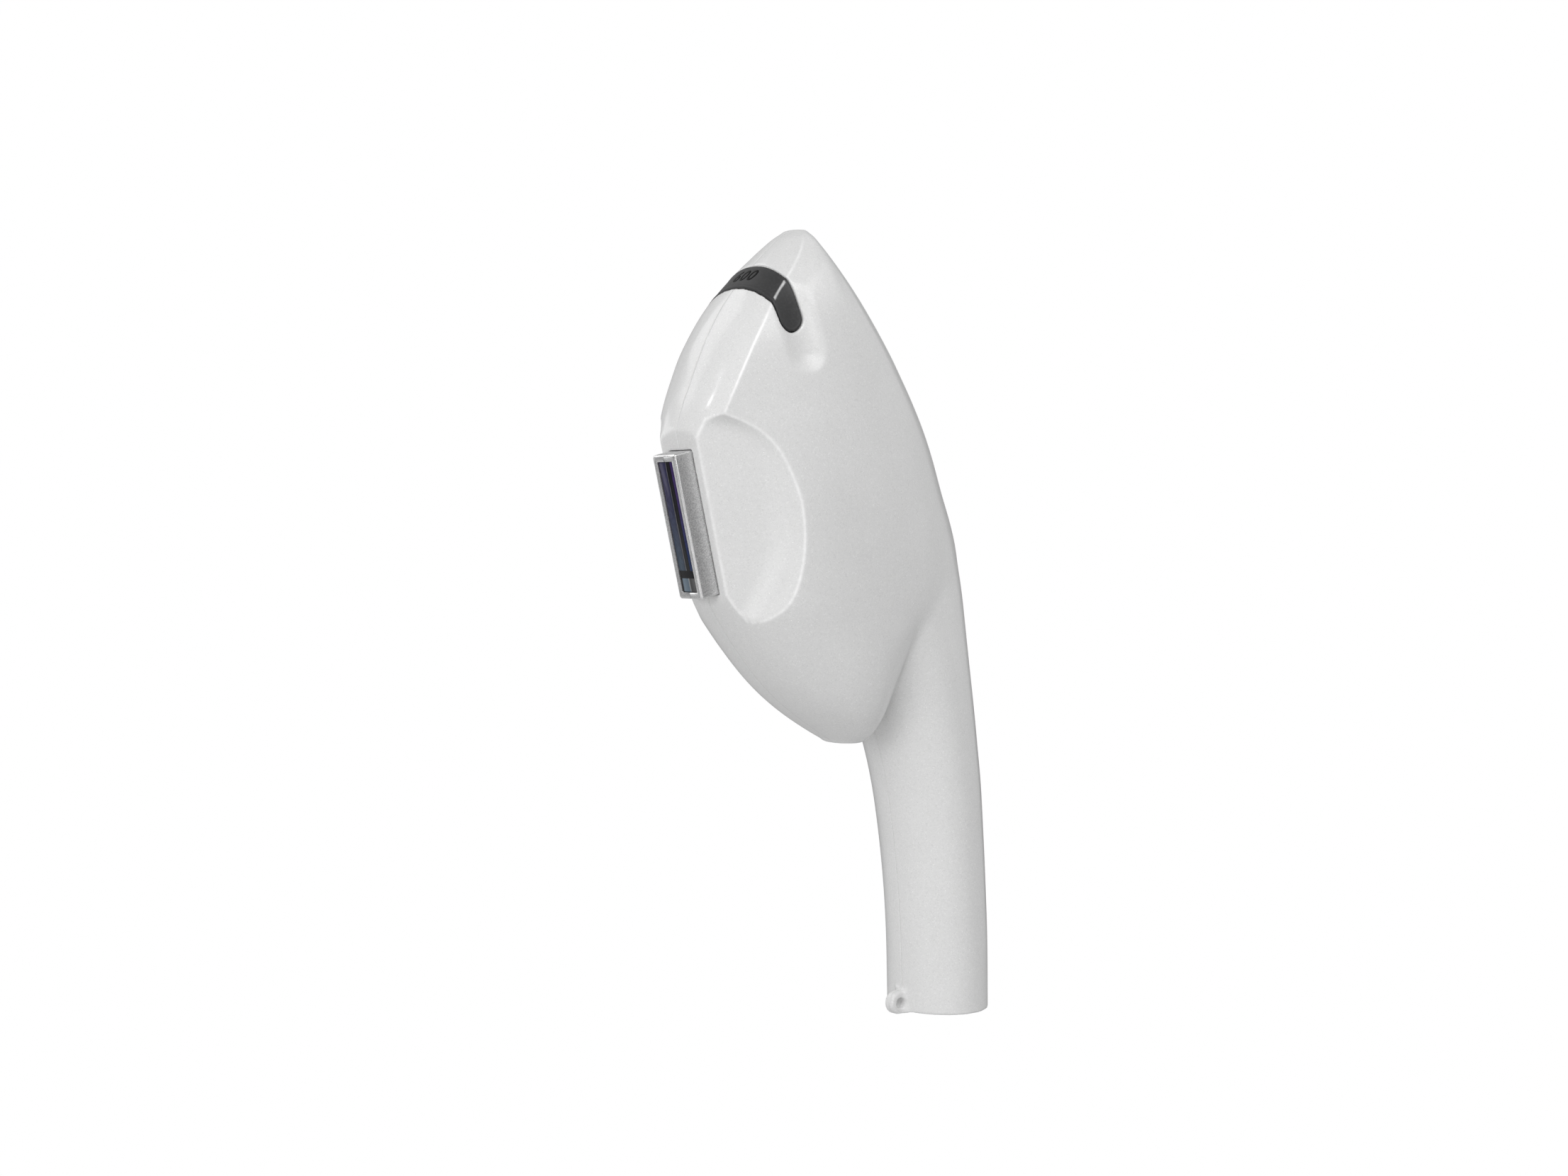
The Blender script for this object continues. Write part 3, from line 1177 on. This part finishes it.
# ------------------------------------------------------------------ number on the band
NUMBER_HEIGHT, NUMBER_SHIFT, NUMBER_THICKNESS = 4.6, 0.6, 0.08
NUMBER_CENTRE = Vector((-78.4, 0.0, 230.1))
NUMBER_OUT, NUMBER_UP = Vector((-0.70, 0.0, 0.71)), Vector((0.71, 0.0, 0.70))
NUMBER_RIGHT = Vector((0.0, -1.0, 0.0))
NUMBER_START = 12.0                       # projection starts this far off the cap


def number_text(text):
    """Slanted text as a flat mesh, one unit to the font size."""
    curve = bpy.data.curves.new("band_number_curve", "FONT")
    curve.body = text
    curve.size = 1.0
    curve.align_x, curve.align_y = "CENTER", "CENTER"
    curve.shear = 0.18
    curve.offset = 0.028
    curve.space_character = 1.15
    curve.resolution_u = 6
    ob = link_object("band_number_tmp", curve)
    depsgraph = bpy.context.evaluated_depsgraph_get()
    me = bpy.data.meshes.new_from_object(ob.evaluated_get(depsgraph))
    bpy.data.objects.remove(ob)
    return me


def band_number(text):
    """Text laid on the cap, cut fine enough to follow its curve."""
    bm = bmesh.new()
    bm.from_mesh(number_text(text))
    bmesh.ops.triangulate(bm, faces=bm.faces)
    for _ in range(2):
        long_edges = [e for e in bm.edges if e.calc_length() > 0.12]
        if long_edges:
            bmesh.ops.subdivide_edges(bm, edges=long_edges, cuts=1)
            bmesh.ops.triangulate(bm, faces=bm.faces)
    bmesh.ops.remove_doubles(bm, verts=bm.verts, dist=1e-5)
    xs = [v.co.x for v in bm.verts]
    ys = [v.co.y for v in bm.verts]
    scale = NUMBER_HEIGHT / (max(ys) - min(ys))
    middle_x, middle_y = (max(xs) + min(xs)) / 2, (max(ys) + min(ys)) / 2
    cap = bvh_of(cap_ob)
    for v in bm.verts:
        u, w = (v.co.x - middle_x) * scale + NUMBER_SHIFT, (v.co.y - middle_y) * scale
        start = (NUMBER_CENTRE + NUMBER_RIGHT * u + NUMBER_UP * w
                 + NUMBER_OUT * NUMBER_START) * MM
        hit = cap.ray_cast(start, -NUMBER_OUT)[0]
        v.co = start - NUMBER_OUT * NUMBER_START * MM if hit is None else hit
    bm.normal_update()
    if sum(f.normal.dot(NUMBER_OUT) for f in bm.faces) < 0:
        bmesh.ops.reverse_faces(bm, faces=bm.faces)
    me = bpy.data.meshes.new("band_number")
    bm.to_mesh(me)
    bm.free()
    ob = link_object("band_number", me)
    thick = ob.modifiers.new("thick", "SOLIDIFY")
    thick.thickness, thick.offset = NUMBER_THICKNESS * MM, 0.0
    apply_modifiers(ob)
    return ob


number_ob = band_number("600")
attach(number_ob, "filter_cartridge")
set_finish(number_ob, "filter_grey")
paint(number_ob, BLACK_PRINT)

# soft edges on the machined parts inside
for name in ("filter_carrier", "filter_guide", "cooling_block", "lamp_housing",
             "lamp_end_caps", "chassis", "tec_heat_plates", "filter_glass",
             "control_board", "guide_seal"):
    add_bevel(frame["nodes"][name], width=0.18, angle=60)

# ------------------------------------------------------------------ stage, metres
FLOOR_HALF, FLOOR_Z = 6.0, -0.30
scene = bpy.context.scene


def floor_material():
    """Pale and matt to the light, plain white to the camera."""
    m = Mat("pale_floor")
    m.finish(color=m.fade(m.noise(scale=3.0), grey(0.66), grey(0.69)), rough=0.9)
    emission = m.node("ShaderNodeEmission")
    m.put(emission.inputs["Color"], grey(1.0))
    m.put(emission.inputs["Strength"], 1.0)
    mixer = m.node("ShaderNodeMixShader")
    m.put(mixer.inputs["Fac"], m.node("ShaderNodeLightPath").outputs["Is Camera Ray"])
    m.put(mixer.inputs[1], m.shader.outputs["BSDF"])
    m.put(mixer.inputs[2], emission.outputs["Emission"])
    output = next(n for n in m.tree.nodes if n.type == "OUTPUT_MATERIAL")
    m.put(output.inputs["Surface"], mixer.outputs["Shader"])
    return m.material


def add_floor():
    h = FLOOR_HALF
    me = bpy.data.meshes.new("floor")
    me.from_pydata([(-h, -h, 0), (h, -h, 0), (h, h, 0), (-h, h, 0)], [], [(0, 1, 2, 3)])
    ob = link_object("floor", me)
    ob.location = (0, 0, FLOOR_Z)
    paint(ob, floor_material())


def add_world(light_strength, camera_strength):
    """White world, dimmer as a light than it looks to the camera."""
    world = bpy.data.worlds.new("studio")
    scene.world = world
    world.use_nodes = True
    tree = world.node_tree
    mixer = tree.nodes.new("ShaderNodeMixShader")
    path = tree.nodes.new("ShaderNodeLightPath")
    tree.links.new(path.outputs["Is Camera Ray"], mixer.inputs["Fac"])
    backgrounds = (tree.nodes["Background"], tree.nodes.new("ShaderNodeBackground"))
    strengths = (light_strength, camera_strength)
    for i, (background, strength) in enumerate(zip(backgrounds, strengths)):
        background.inputs["Color"].default_value = (1, 1, 1, 1)
        background.inputs["Strength"].default_value = strength
        tree.links.new(background.outputs[0], mixer.inputs[i + 1])
    output = next(n for n in tree.nodes if n.type == "OUTPUT_WORLD")
    tree.links.new(mixer.outputs[0], output.inputs["Surface"])


def area(name, place, target, width, height, watts):
    light = bpy.data.lights.new(name, "AREA")
    light.shape, light.size, light.size_y, light.energy = "RECTANGLE", width, height, watts
    ob = bpy.data.objects.new(name, light)
    ob.location = place
    ob.rotation_euler = (Vector(target) - Vector(place)).to_track_quat("-Z", "Y").to_euler()
    scene.collection.objects.link(ob)
    return ob


AIM, LIGHT_DISTANCE = Vector((-0.05, 0.0, 0.14)), 1.6
# azimuth from -Y towards +X, elevation (degrees), watts, size (metres)
SOFTBOXES = [
    (280, 5, 8.1, 0.8), (320, 40, 7.5, 0.8), (0, 40, 3.7, 0.8), (80, 5, 2.6, 1.5),
    (280, 40, 0.8, 0.8), (320, 5, 2.5, 0.8), (40, 40, 1.5, 0.8), (80, 40, 1.0, 1.5),
    (200, 5, 2.4, 0.8), (200, 40, 2.4, 0.8), (150, 20, 1.6, 1.5)]
# shares of the first softbox: one light with no highlight, one with
UNSEEN_SHARE, SEEN_SHARE = 0.68, 0.27


def add_softboxes():
    for n, (azimuth, elevation, watts, size) in enumerate(SOFTBOXES):
        az, el = math.radians(azimuth), math.radians(elevation)
        away = Vector((math.sin(az) * math.cos(el), -math.cos(az) * math.cos(el), math.sin(el)))
        place = AIM + away * LIGHT_DISTANCE
        if n == 0:
            soft = area("softbox_soft", place, AIM, size, size, watts * UNSEEN_SHARE)
            soft.visible_glossy = False
            watts *= SEEN_SHARE
        area("softbox_%d" % n, place, AIM, size, size, watts)


CAMERA_PLACE = Vector((-0.4720, -0.5233, 0.1547))
CAMERA_TURN, CAMERA_RAISE = math.radians(38.0), math.radians(1.6)
# camera axes: back runs from the scene to the camera
CAMERA_BACK = Vector((-math.sin(CAMERA_TURN) * math.cos(CAMERA_RAISE),
                      -math.cos(CAMERA_TURN) * math.cos(CAMERA_RAISE),
                      math.sin(CAMERA_RAISE)))
CAMERA_RIGHT = Vector((math.cos(CAMERA_TURN), -math.sin(CAMERA_TURN), 0.0))
CAMERA_UP = CAMERA_BACK.cross(CAMERA_RIGHT)


def add_camera():
    data = bpy.data.cameras.new("camera")
    data.lens, data.sensor_width, data.sensor_fit = 50.0, 36.0, "HORIZONTAL"
    data.clip_start, data.clip_end = 0.01, 50.0
    ob = link_object("camera", data)
    columns = (CAMERA_RIGHT, CAMERA_UP, CAMERA_BACK, CAMERA_PLACE)
    ob.matrix_world = Matrix([[column[i] for column in columns] for i in range(3)]
                             + [[0, 0, 0, 1]])
    scene.camera = ob


def add_glint(name, slope_right, slope_up, width, height, watts, distance=1.5):
    """Small light mirrored to the camera by one spot of the right shell.

    The spot is given by the slopes of the sight line, right and up per unit forward.
    """
    sight = (CAMERA_RIGHT * slope_right + CAMERA_UP * slope_up - CAMERA_BACK).normalized()
    hit, normal, _, _ = bvh_of(right_ob).ray_cast(CAMERA_PLACE, sight)
    if hit is None:                       # the sight line misses the shell
        return
    mirrored = sight - normal * (2 * sight.dot(normal))
    area(name, hit + mirrored * distance, hit, width, height, watts)


add_floor()
add_world(light_strength=0.27, camera_strength=1.0)
add_softboxes()
add_camera()
add_glint("glint_1001_569", slope_right=-0.0341796875, slope_up=0.0847981771,
          width=0.035, height=0.05, watts=0.6)
scene.view_settings.view_transform = "Standard"
scene.view_settings.look = "None"

bpy.context.view_layer.update()
